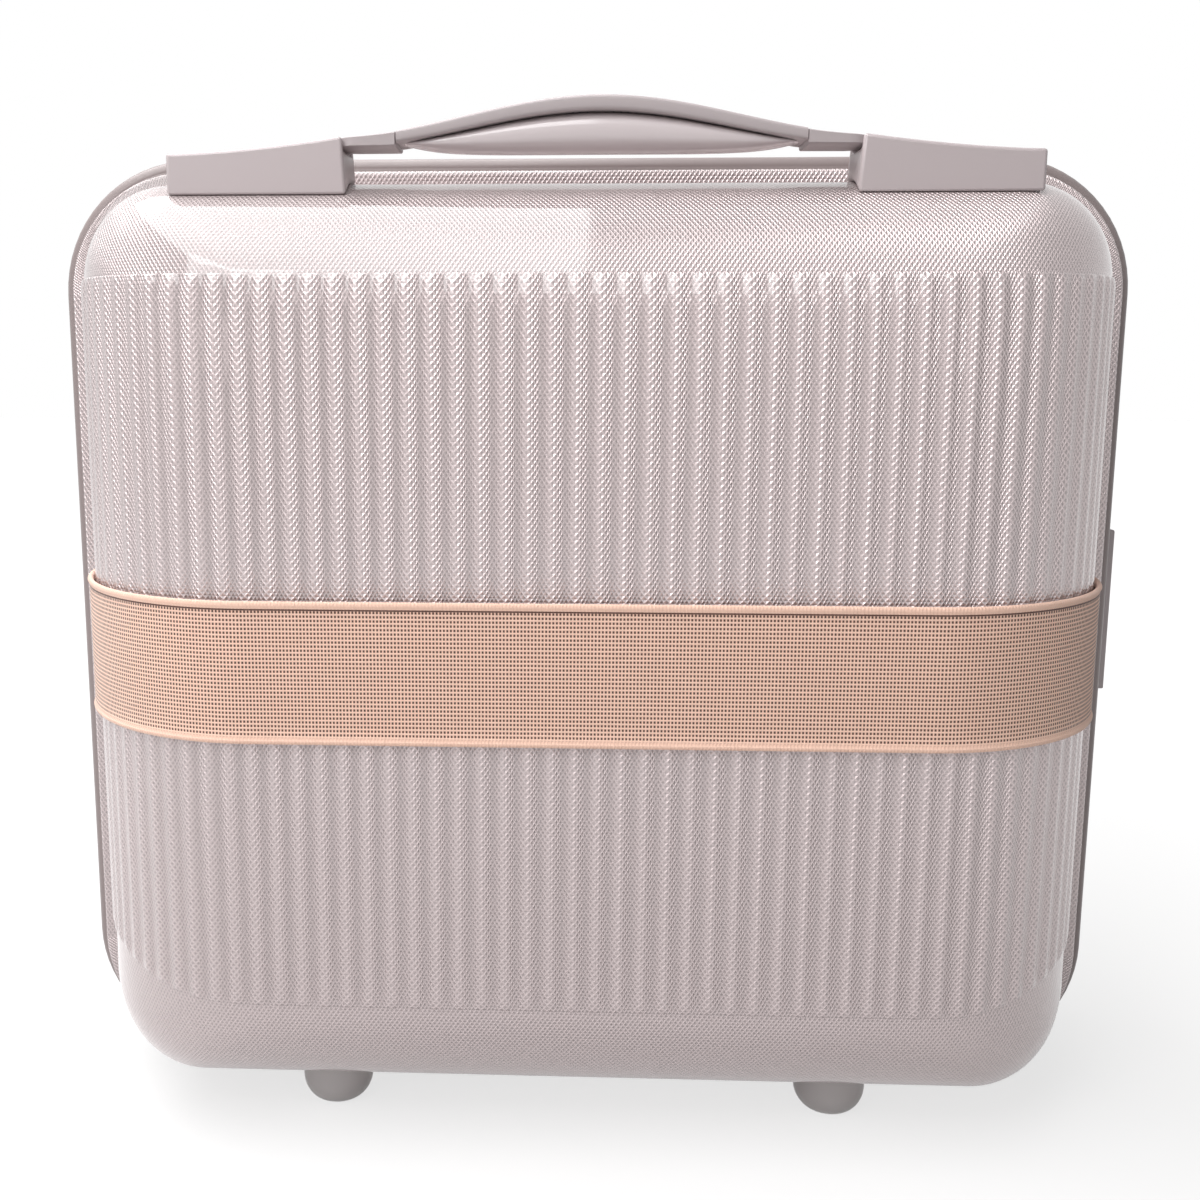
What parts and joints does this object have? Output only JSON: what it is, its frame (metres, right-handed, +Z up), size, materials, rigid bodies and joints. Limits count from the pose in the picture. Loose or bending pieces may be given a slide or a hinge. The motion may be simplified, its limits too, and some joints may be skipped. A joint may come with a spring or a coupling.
{
  "type": "vanity case",
  "caption": "Ribbed hard-shell vanity case: two rounded moulded halves zipped together and hinged below, with a springy carry strap, luggage band, side lock and feet.",
  "frame": {"origin": "centre of the whole case's footprint, on the surface it stands on", "axes": "+X to the lock's side, along the case's width; +Y from the handled, banded half towards the lid; +Z up"},
  "size_m": [0.3292, 0.1483, 0.3019],
  "materials": {
    "shell": "glossy, embossed",
    "trim": "satin gloss",
    "strap": "satin",
    "grip": "soft matt",
    "bead": "satin",
    "foot": "glossy",
    "band": "woven elastic",
    "tape": "woven",
    "chain": "nylon",
    "lining": "woven polyester",
    "mesh": "net",
    "elastic": "woven elastic",
    "plate": "mill",
    "steel": "zinc plated",
    "spring_steel": "plain",
    "dial": "satin chrome",
    "button": "satin",
    "zip_metal": "polished"
  },
  "bodies": {
    "case_body": {"body_shell": "shell", "body_rim_bead": "bead", "body_zip_tape": "tape", "body_zip_chain": "chain", "body_lining": "lining", "packing_straps": "elastic", "hinge_strip_body": "tape", "luggage_band": "band", "handle_cap_left": "trim", "handle_cap_right": "trim", "handle_tongues": "strap", "handle_backing_plates": "plate", "handle_screws": "steel", "body_feet": "foot", "body_foot_screws": "steel"},
    "handle": {"handle_strap": "strap", "handle_core": "spring_steel", "handle_grip": "grip"},
    "lid": {"lid_shell": "shell", "lid_rim_bead": "bead", "lid_zip_tape": "tape", "lid_zip_chain": "chain", "lid_lining": "lining", "lid_pocket": "mesh", "hinge_strip_lid": "tape", "lid_feet": "foot", "lid_foot_screws": "steel", "lock_housing": "trim", "lock_backing_plate": "plate", "lock_screws": "steel", "dial_shaft": "steel", "button_spring": "spring_steel"},
    "zip_slider_upper": {"zip_slider_upper": "zip_metal"},
    "zip_slider_lower": {"zip_slider_lower": "zip_metal"},
    "zip_puller_upper": {"zip_puller_upper": "zip_metal"},
    "zip_puller_lower": {"zip_puller_lower": "zip_metal"},
    "dial_upper": {"dial_upper": "dial"},
    "dial_middle": {"dial_middle": "dial"},
    "dial_lower": {"dial_lower": "dial"},
    "lock_button": {"lock_button": "button"}
  },
  "joints": [
    {"name": "lid_hinge", "type": "hinge", "parent": "case_body", "child": "lid", "pos_m": [-0.00465, 0.001, 0.0059], "axis": [-1, 0, 0], "range_deg": [0, 135]},
    {"name": "handle_lift", "type": "slide", "parent": "case_body", "child": "handle", "axis": [0, 0, 1], "range_m": [0, 0.01], "stiffness_N_per_m": 1000},
    {"name": "upper_zip_slide", "type": "slide", "parent": "case_body", "child": "zip_slider_upper", "axis": [0, 0, 1], "range_m": [0, 0.075]},
    {"name": "lower_zip_slide", "type": "slide", "parent": "case_body", "child": "zip_slider_lower", "axis": [0, 0, -1], "range_m": [0, 0.075]},
    {"name": "upper_puller_swing", "type": "hinge", "parent": "zip_slider_upper", "child": "zip_puller_upper", "pos_m": [0.15425, 0.001, 0.164], "axis": [0, -1, 0], "range_deg": [0, 150]},
    {"name": "lower_puller_swing", "type": "hinge", "parent": "zip_slider_lower", "child": "zip_puller_lower", "pos_m": [0.15425, 0.001, 0.14], "axis": [0, -1, 0], "range_deg": [0, 150]},
    {"name": "dial_upper_turn", "type": "hinge", "parent": "lid", "child": "dial_upper", "pos_m": [0.15815, 0.0229, 0.1556], "axis": [0, 0, 1], "continuous": true},
    {"name": "dial_middle_turn", "type": "hinge", "parent": "lid", "child": "dial_middle", "pos_m": [0.15815, 0.0229, 0.148], "axis": [0, 0, 1], "continuous": true},
    {"name": "dial_lower_turn", "type": "hinge", "parent": "lid", "child": "dial_lower", "pos_m": [0.15815, 0.0229, 0.1404], "axis": [0, 0, 1], "continuous": true},
    {"name": "lock_button_press", "type": "slide", "parent": "lid", "child": "lock_button", "axis": [0, 0, -1], "range_m": [0, 0.002], "stiffness_N_per_m": 300, "deforming": ["button_spring"]}
  ]
}
